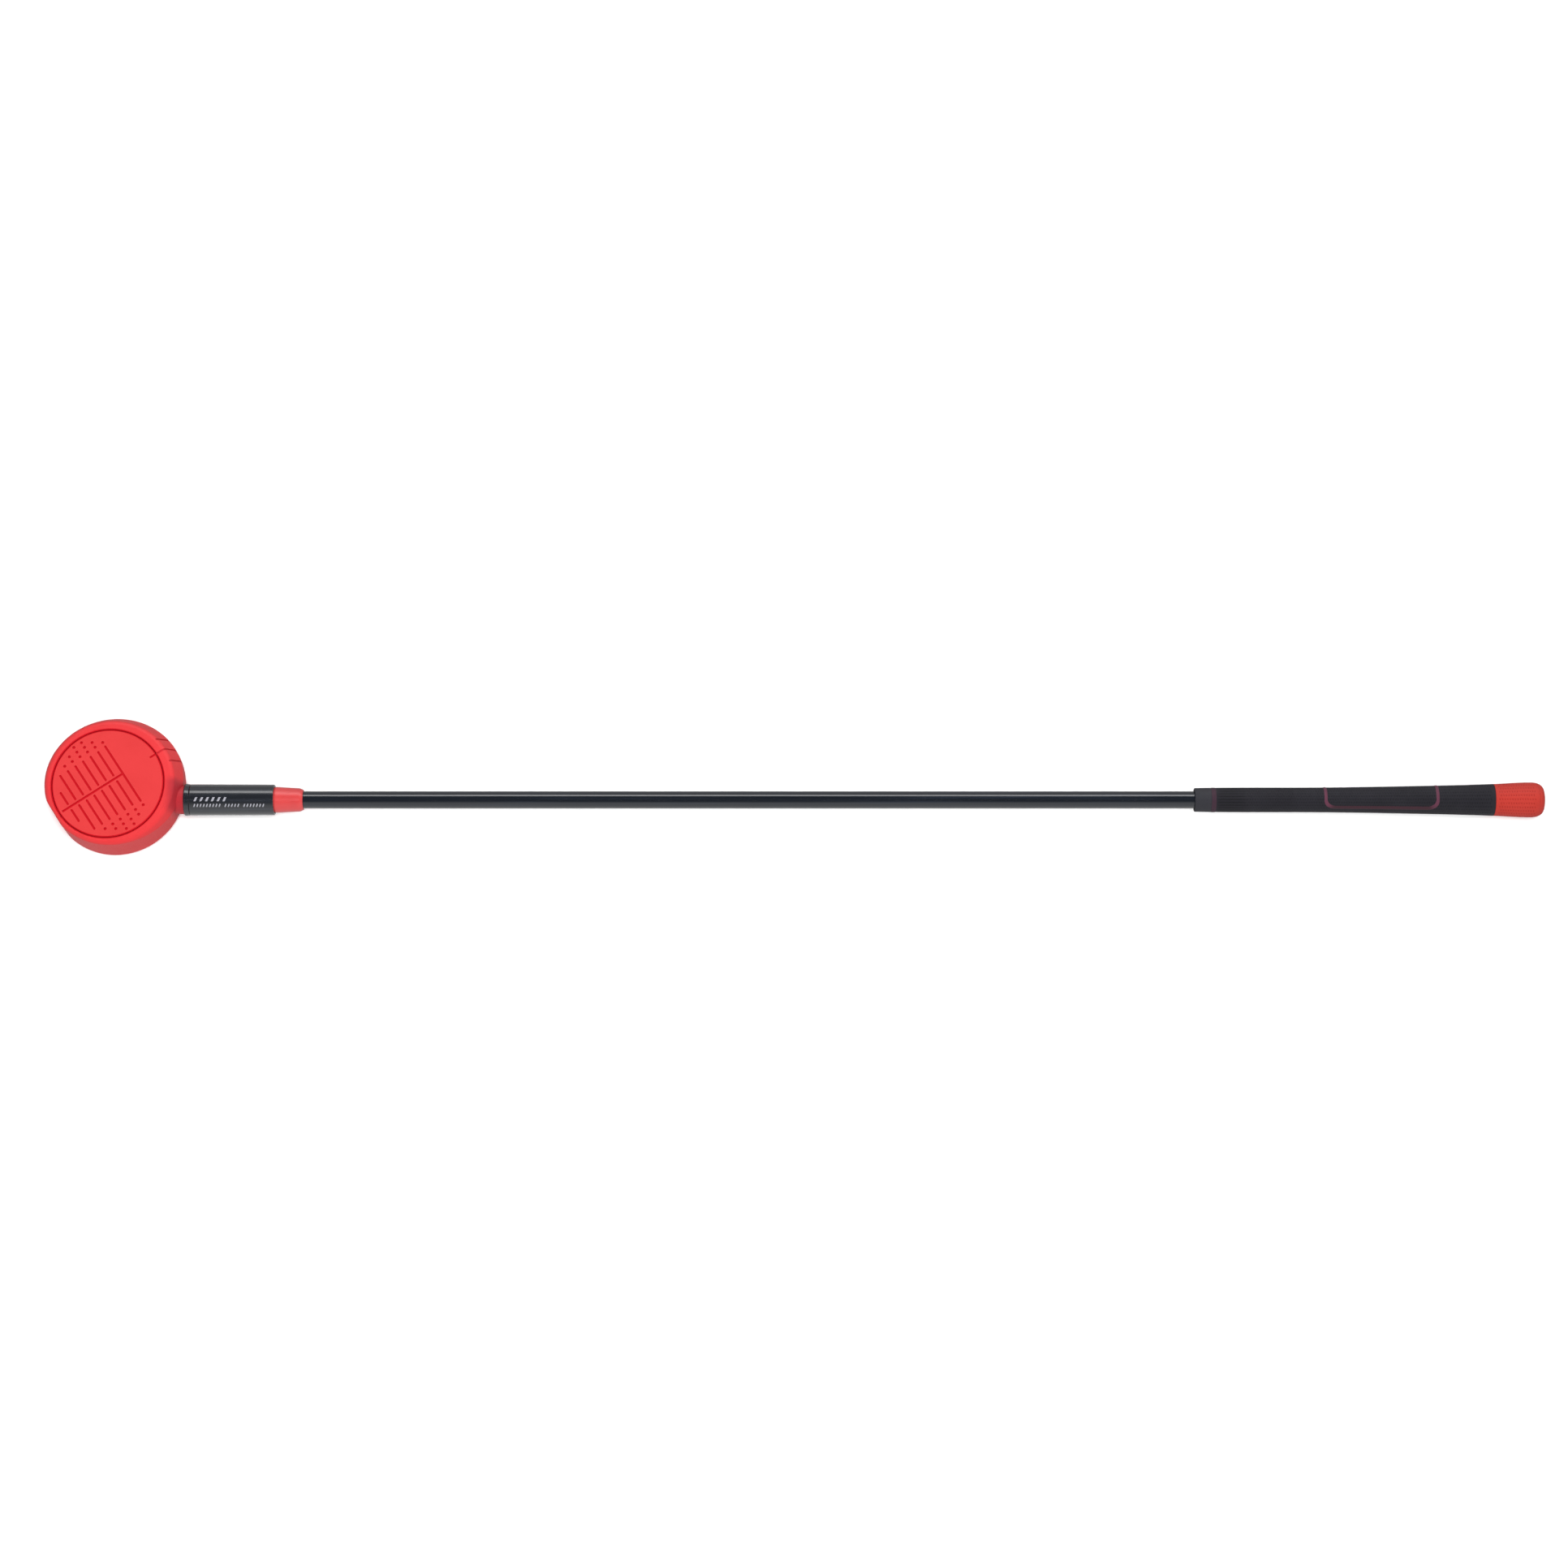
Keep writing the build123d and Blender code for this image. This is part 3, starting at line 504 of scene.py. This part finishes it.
def add_mark(points, faces, start, length, middle_angle, height, slant):
    """One thin raised mark on the barrel, lengthwise from start, height measured round it."""
    across = 5
    first = len(points)
    for lift in (MARK_BOTTOM, MARK_TOP):
        for step in range(across):
            share = step / (across - 1) - 0.5
            for end in (0, 1):
                x = start + end * length + share * slant
                radius = barrel_radius(x) + lift
                points.append(ring_point(x, radius, middle_angle + share * height / sleeve_radius))
    top = first + 2 * across
    for step in range(across - 1):
        a, b, c, d = (2 * step, 2 * step + 1, 2 * step + 3, 2 * step + 2)
        faces.append((top + a, top + b, top + c, top + d))
        faces.append((first + d, first + c, first + b, first + a))
        faces.append((first + a, top + a, top + d, first + d))
        faces.append((first + b, first + c, top + c, top + b))
    last = 2 * across - 2
    faces.append((first, first + 1, top + 1, top))
    faces.append((first + last, top + last, top + last + 1, first + last + 1))


points, faces = [], []
for number in range(BAR_COUNT):
    start = barrel_low + 4 * MM + number * BAR_PITCH
    add_mark(points, faces, start, BAR_LENGTH, BAR_ANGLE, BAR_HEIGHT, BAR_SLANT)
start = barrel_low + 3.4 * MM
for count in STROKE_GROUPS:
    for number in range(count):
        add_mark(points, faces, start, STROKE_LENGTH, STROKE_ANGLE, STROKE_HEIGHT, STROKE_SLANT)
        start += STROKE_PITCH
    start += GROUP_GAP
make_piece("hosel_marks", points, faces, PRINT, slot="hosel_black")

# Grip --------------------------------------------------------------------------------------

ROW_COUNT = 26  # rows of pits round the grip
ROW_ANGLE = tau / ROW_COUNT
PIT_PITCH = 1.9 * MM
PIT_HALF_LENGTH = PIT_PITCH / 4
PIT_HALF_ANGLE = radians(3.5)
PIT_DEPTH = 0.42 * MM
ROW_OFFSETS_DEG = (-3.5, -2.0, 0, 2.0, 3.5, 6.92)  # mesh lines across a row, and one between rows
ROW_LINES = [row * ROW_ANGLE + radians(offset) for row in range(ROW_COUNT) for offset in ROW_OFFSETS_DEG]
RIB_DEPTH = 0.22 * MM
RIB_HALF_ANGLE = radians(4.5)
RIB_LENGTH = 25 * MM
SHOULDER_LENGTH, SHOULDER_DROP = 10 * MM, 5.4 * MM

mouth, cap_start = station("grip_sleeve", 0), station("grip_sleeve", 1)
ring_start, ring_end = station("mouth_ring", 0), station("mouth_ring", 1)
butt = station("grip_cap", 1)
widest = butt - SHOULDER_LENGTH
ring_radius = outer_radius("mouth_ring")
taper = [
    (mouth, ring_radius - 0.18 * MM), (ring_end, ring_radius), (928 * MM, 9.5 * MM), (988 * MM, 10.45 * MM),
    (cap_start, outer_radius("grip_sleeve")), (widest, outer_radius("grip_cap")),
]
SKIN_X, SKIN_R = np.array(taper).T
SKIN_SLOPE = np.gradient(SKIN_R, SKIN_X)
SKIN_SLOPE[-1] = 0


def shoulder_radius(x):
    """The rounded end of the butt, a full curve from the widest station to the end face."""
    share = min((x - widest) / (butt - widest), 1)
    return SKIN_R[-1] - SHOULDER_DROP * (1 - (1 - share**2.6) ** 0.55)


def skin_radius(x):
    """Smooth radius of the grip's side, through the taper's stations and round the shoulder."""
    if x > widest:
        return shoulder_radius(x)
    i = int(np.clip(np.searchsorted(SKIN_X, x) - 1, 0, len(SKIN_X) - 2))
    span = SKIN_X[i + 1] - SKIN_X[i]
    t = min(max((x - SKIN_X[i]) / span, 0), 1)
    value = (1 + 2 * t) * (1 - t) ** 2 * SKIN_R[i] + t * t * (3 - 2 * t) * SKIN_R[i + 1]
    return value + span * (t * (1 - t) ** 2 * SKIN_SLOPE[i] - t * t * (1 - t) * SKIN_SLOPE[i + 1])


def ramp(value, start, end):
    """Smooth step from 0 at start to 1 at end."""
    t = np.clip((value - start) / (end - start), 0, 1)
    return t * t * (3 - 2 * t)


def pit_lines(start, end):
    """Stations for pits in both staggered phases, over whole pitches from start to end."""
    count = int((end - start) / PIT_PITCH)
    return [start + n * PIT_PITCH / 4 for n in range(4 * count)]


def pit_depth(x, angle, start, end):
    """From 0 on the skin to 1 at the bottom of an oval pit; every other row is staggered."""
    if not start < x < end:
        return 0.0
    row = round(angle / ROW_ANGLE)
    phase = (x - start) / PIT_PITCH - (0.5 if row % 2 else 0)
    along = (phase - round(phase)) * PIT_PITCH / PIT_HALF_LENGTH
    around = (angle - row * ROW_ANGLE) / PIT_HALF_ANGLE
    return max(0.0, 1 - along**2 - around**2) ** 0.6


def rib_depth(x, angle, start, end):
    """Lengthwise grooves on the row lines, fading out at both ends."""
    row = round(angle / ROW_ANGLE)
    around = abs(angle - row * ROW_ANGLE) / RIB_HALF_ANGLE
    fade = ramp(x, start, start + 2 * MM) * (1 - ramp(x, end - 5 * MM, end))
    return max(0.0, 1 - around) * fade


def add_pit_attribute(piece, values):
    """The point attribute that grip_rubber's pits colour reads."""
    piece.data.attributes.new("pit", "FLOAT", "POINT").data.foreach_set("value", values)


def textured(name, stations, lead_in, lead_out, relief, material, replaced, slot, poles=False):
    """A grip piece: a skin whose relief goes inward, between a plain turned lead-in and lead-out.

    relief(x, angle) gives the depth and the "pit" shade; poles closes both ends instead of joining them.
    """
    columns = len(ROW_LINES)
    points = [ring_point(x, radius, angle) for x, radius in lead_in for angle in ROW_LINES]
    pits = [0.0] * len(points)
    for x in stations:
        radius = skin_radius(x)
        for angle in ROW_LINES:
            depth, shade = relief(x, angle)
            points.append(ring_point(x, radius - depth, angle))
            pits.append(shade)
    points += [ring_point(x, radius, angle) for x, radius in lead_out for angle in ROW_LINES]
    pits += [0.0] * (len(lead_out) * columns)
    rows = len(points) // columns
    faces = wrap(rows, columns, not poles, True, flip=True)
    if poles:
        faces.append(tuple(range(columns)))
        faces.append(tuple(range((rows - 1) * columns, rows * columns))[::-1])
    piece = make_piece(name, points, faces, material, replaced=replaced, slot=slot)
    add_pit_attribute(piece, pits)


tape_radius = outer_radius("grip_tape") + SNUG
rib_start, rib_end = ring_end + 0.6 * MM, ring_end + RIB_LENGTH
pits_start = rib_end - 2.5 * MM
pits_end = cap_start - 2.2 * MM


def sleeve_relief(x, angle):
    """Ribs near the mouth, then pits."""
    pit = pit_depth(x, angle, pits_start, pits_end)
    rib = rib_depth(x, angle, rib_start, rib_end)
    return max(pit * PIT_DEPTH, rib * RIB_DEPTH), max(pit, 0.8 * rib)


mouth_radius = skin_radius(mouth)
sleeve_stations = [
    *np.linspace(mouth + 0.9 * MM, ring_start - 0.4 * MM, 8),
    *np.linspace(ring_start, ring_end, 4),
    *np.linspace(rib_start, pits_start - 0.6 * MM, 14),
    *pit_lines(pits_start, pits_end),
    *np.linspace(pits_end, cap_start - 0.35 * MM, 4),
]
mouth_lip = [
    (mouth + 2.2 * MM, tape_radius), (mouth + 0.8 * MM, tape_radius + 0.35 * MM),
    (mouth + 0.1 * MM, tape_radius + 1.0 * MM), (mouth, mouth_radius - 0.75 * MM),
    (mouth + 0.12 * MM, mouth_radius - 0.3 * MM), (mouth + 0.45 * MM, mouth_radius - 0.06 * MM),
]
sleeve_end = [
    (cap_start - 0.1 * MM, skin_radius(cap_start) - 0.12 * MM),
    (cap_start, skin_radius(cap_start) - 0.4 * MM), (cap_start, tape_radius),
]
textured(
    "grip_sleeve_skin", sorted(sleeve_stations), mouth_lip, sleeve_end, sleeve_relief, GRIP,
    ["grip_sleeve"], "grip_black",
)

# Red butt section: the same pits, a fine crease, a round shoulder and a dimple in the end.
cap_pits_start, cap_pits_end = cap_start + 2.0 * MM, butt - 6.0 * MM
CREASE_HALF, CREASE_DEPTH = 0.55 * MM, 0.3 * MM
crease = butt - 3.8 * MM
CLOSED = 0.05 * MM  # radius of the small flat faces on the axis
DIMPLE, DIMPLE_DEPTH = 1.7 * MM, 1 * MM


def cap_relief(x, angle):
    """Pits only."""
    pit = pit_depth(x, angle, cap_pits_start, cap_pits_end)
    return pit * PIT_DEPTH, pit


inner_wall = station("shaft", 1) + 1 * MM
cap_inner = [
    (inner_wall, CLOSED), (inner_wall, tape_radius),
    (cap_start, tape_radius), (cap_start, skin_radius(cap_start) - 0.4 * MM),
    (cap_start + 0.1 * MM, skin_radius(cap_start) - 0.12 * MM),
]
cap_stations = [
    *np.linspace(cap_start + 0.35 * MM, cap_pits_start - 0.2 * MM, 4),
    *pit_lines(cap_pits_start, cap_pits_end),
    *np.linspace(cap_pits_end, cap_pits_end + 0.6 * MM, 3),
]
cap_shoulder = []
for x in [crease - 0.9 * MM, *np.linspace(crease - CREASE_HALF, crease + CREASE_HALF, 5)]:
    dip = CREASE_DEPTH * max(0.0, 1 - abs(x - crease) / CREASE_HALF)
    cap_shoulder.append((x, shoulder_radius(x) - dip))
for share in np.linspace(0.08, 1, 12):
    x = crease + CREASE_HALF + (butt - crease - CREASE_HALF) * sin(share * pi / 2)
    cap_shoulder.append((x, shoulder_radius(x)))
cap_shoulder += [
    (butt, 6 * MM), (butt, 2 * DIMPLE), (butt, DIMPLE + 0.3 * MM), (butt - 0.12 * MM, DIMPLE),
    (butt - 0.9 * MM, DIMPLE - 0.25 * MM), (butt - DIMPLE_DEPTH, DIMPLE - 0.6 * MM),
    (butt - DIMPLE_DEPTH, CLOSED),
]
textured(
    "grip_butt_skin", sorted(cap_stations), cap_inner, cap_shoulder, cap_relief, GRIP_RED,
    ["grip_cap"], "grip_red", poles=True,
)

# Dark red ring near the mouth: a low bead with a rounded back.
BEAD_RAISE, BEAD_SINK, BEAD_ROOT = 0.22 * MM, 0.04 * MM, 0.5 * MM
bead = [(ring_start, ring_radius - BEAD_ROOT), (ring_end, ring_radius - BEAD_ROOT)]
for share in np.linspace(1, 0, 11):
    x = ring_start + share * (ring_end - ring_start)
    bead.append((x, skin_radius(x) - BEAD_SINK + BEAD_RAISE * sin(share * pi) ** 0.7))
lathe("mouth_ring_bead", bead, RING_RED, replaced=["mouth_ring"], slot="grip_dark_red")

# Hand guide: a closed band laid into the skin. Its long sides are broad, its ends slim.
guide_start, guide_end = station("hand_guide", 0), station("hand_guide", 1)
GUIDE_END_WIDTH = 2.4 * MM
GUIDE_LOW, GUIDE_HIGH = radians(-61), radians(130)
GUIDE_SIDE = radians(17)
LONG_SIDE_POINTS, END_POINTS = 26, 34
SECTION = [
    (0, -0.35), (0, 0.0), (0.12, 0.14), (0.3, 0.22), (0.5, 0.24),
    (0.7, 0.22), (0.88, 0.14), (1, 0.0), (1, -0.35),
]  # share of the way across the band, and lift from the skin in mm


def between(start, end, count):
    """The inner ones of count evenly spaced points from start to end, in (station, angle)."""
    (x0, a0), (x1, a1) = start, end
    return [(x0 + share * (x1 - x0), a0 + share * (a1 - a0)) for share in np.linspace(0, 1, count)[1:-1]]


def rounded_loop(x_low, x_high, a_low, a_high, corner_x, corner_a):
    """A rounded rectangle in (station, angle), with the same number of points whatever its size."""
    loop = []
    corners = (
        (x_high - corner_x, a_high - corner_a), (x_low + corner_x, a_high - corner_a),
        (x_low + corner_x, a_low + corner_a), (x_high - corner_x, a_low + corner_a),
    )
    for quarter, (x, angle) in enumerate(corners):
        arc = []
        for t in np.linspace(0, pi / 2, 14):
            turn = t + quarter * pi / 2
            arc.append((x + corner_x * cos(turn), angle + corner_a * sin(turn)))
        if loop:
            loop += between(loop[-1], arc[0], LONG_SIDE_POINTS if quarter % 2 else END_POINTS)
        loop += arc
    return loop + between(loop[-1], loop[0], END_POINTS)


outer_loop = rounded_loop(guide_start, guide_end, GUIDE_LOW, GUIDE_HIGH, 9 * MM, radians(40))
inner_loop = rounded_loop(
    guide_start + GUIDE_END_WIDTH, guide_end - GUIDE_END_WIDTH,
    GUIDE_LOW + GUIDE_SIDE, GUIDE_HIGH - GUIDE_SIDE, 6.6 * MM, radians(30),
)
points = []
for (x0, a0), (x1, a1) in zip(outer_loop, inner_loop):
    for across, lift in SECTION:
        x = x0 + across * (x1 - x0)
        points.append(ring_point(x, skin_radius(x) + lift * MM, a0 + across * (a1 - a0)))
band = make_piece(
    "hand_guide_band", points, wrap(len(outer_loop), len(SECTION), True, True), GUIDE_RED,
    replaced=["hand_guide"], slot="grip_dark_red",
)
painted_side_shade = []  # painted shade: the long sides are darker than the ends
for x, _ in outer_loop:
    painted_side_shade += [ramp(min(x - guide_start, guide_end - x), 1 * MM, 8 * MM)] * len(SECTION)
add_pit_attribute(band, painted_side_shade)

# Stage, lights and camera ------------------------------------------------------------------

FLOOR_HALF, FLOOR_Z = 12.0, -0.3 * MM
FLOOR_GLOW_START, FLOOR_GLOW_END, FLOOR_GLOW = 0.9, 3.2, 0.5  # keeps the floor pale beyond the lamps' reach
SQUARE = ((-1, -1), (1, -1), (1, 1), (-1, 1))
floor_mesh = bpy.data.meshes.new("floor")
floor_mesh.from_pydata([(x * FLOOR_HALF, y * FLOOR_HALF, FLOOR_Z) for x, y in SQUARE], [], [(0, 1, 2, 3)])
floor = bpy.data.objects.new("floor", floor_mesh)
bpy.context.scene.collection.objects.link(floor)
floor_paint = Shader("floor_paper", (0.93, 0.93, 0.93), 0.9)
floor_paint.tint(floor_paint.step(floor_paint.noise(2), 0.3, 0.8), (0.925, 0.925, 0.925))
far = floor_paint.step(floor_paint.axis_distance(), FLOOR_GLOW_START, FLOOR_GLOW_END)
glow = floor_paint.math("MULTIPLY", far, FLOOR_GLOW)
floor_paint.link(glow, floor_paint.shader.inputs["Emission Strength"])
floor_paint.shader.inputs["Emission Color"].default_value = (1, 1, 1, 1)
floor_mesh.materials.append(floor_paint.material)
floor.visible_glossy = False  # the gloss and the fill from below come from the sky's lower half
floor.visible_diffuse = False

TARGET = Vector((512.2 * MM, 4.5 * MM, AXIS_Z))  # what the camera looks at, about the stick's middle


def area_light(name, direction_deg, distance, width, height, power):
    """A soft box at an angle from straight up, towards +Y, facing the object, long side along X."""
    angle = radians(direction_deg)
    data = bpy.data.lights.new(name, "AREA")
    data.shape = "RECTANGLE"
    data.size, data.size_y = width, height
    data.energy = power
    lamp = bpy.data.objects.new(name, data)
    bpy.context.scene.collection.objects.link(lamp)
    away = Vector((0, sin(angle), cos(angle)))
    lamp.location = TARGET + away * distance
    lamp.rotation_mode = "QUATERNION"
    lamp.rotation_quaternion = away.to_track_quat("Z", "Y")
    return lamp


strip = area_light("strip_behind", direction_deg=46, distance=2.0, width=2.6, height=0.6, power=22)
strip.visible_diffuse = False  # it makes the long highlight only
key = area_light("key_by_camera", direction_deg=-13, distance=3.0, width=1.4, height=1.4, power=112)
key.visible_glossy = False  # it lights the colours only
fill = area_light("fill_behind", direction_deg=58, distance=2.6, width=2.6, height=1.6, power=34)
fill.location.x += 0.4
fill.visible_glossy = False

world = bpy.data.worlds.new("studio")
world.use_nodes = True
bpy.context.scene.world = world
nodes, links = world.node_tree.nodes, world.node_tree.links
where = nodes.new("ShaderNodeTexCoord")
split = nodes.new("ShaderNodeSeparateXYZ")
links.new(where.outputs["Generated"], split.inputs[0])


def gradient(source, start, end, low, high):
    """A smooth change of brightness along one axis of the sky."""
    node = nodes.new("ShaderNodeMapRange")
    node.interpolation_type = "SMOOTHSTEP"
    links.new(split.outputs[source], node.inputs["Value"])
    for socket, value in zip(("From Min", "From Max", "To Min", "To Max"), (start, end, low, high)):
        node.inputs[socket].default_value = value
    return node.outputs["Result"]


# The sky is brightest low down and on the camera's side.
nodes["Background"].inputs["Color"].default_value = (1, 1, 1, 1)
sky = nodes.new("ShaderNodeMath")
sky.operation = "MULTIPLY"
links.new(gradient("Z", 0.45, 0.87, 1.0, 0.15), sky.inputs[0])
links.new(gradient("Y", -0.9, 0.9, 0.92, 0.5), sky.inputs[1])
links.new(sky.outputs[0], nodes["Background"].inputs["Strength"])

CAMERA_DISTANCE = 2.7
camera_data = bpy.data.cameras.new("camera")
camera_data.sensor_width = 36
camera_data.lens = 81.304
camera = bpy.data.objects.new("camera", camera_data)
bpy.context.scene.collection.objects.link(camera)
back = Vector((0, -sin(VIEW_TILT), cos(VIEW_TILT)))
camera.location = TARGET + CAMERA_DISTANCE * back
camera.rotation_mode = "QUATERNION"
camera.rotation_quaternion = back.to_track_quat("Z", "Y")
bpy.context.scene.camera = camera
bpy.context.scene.view_settings.view_transform = "Standard"
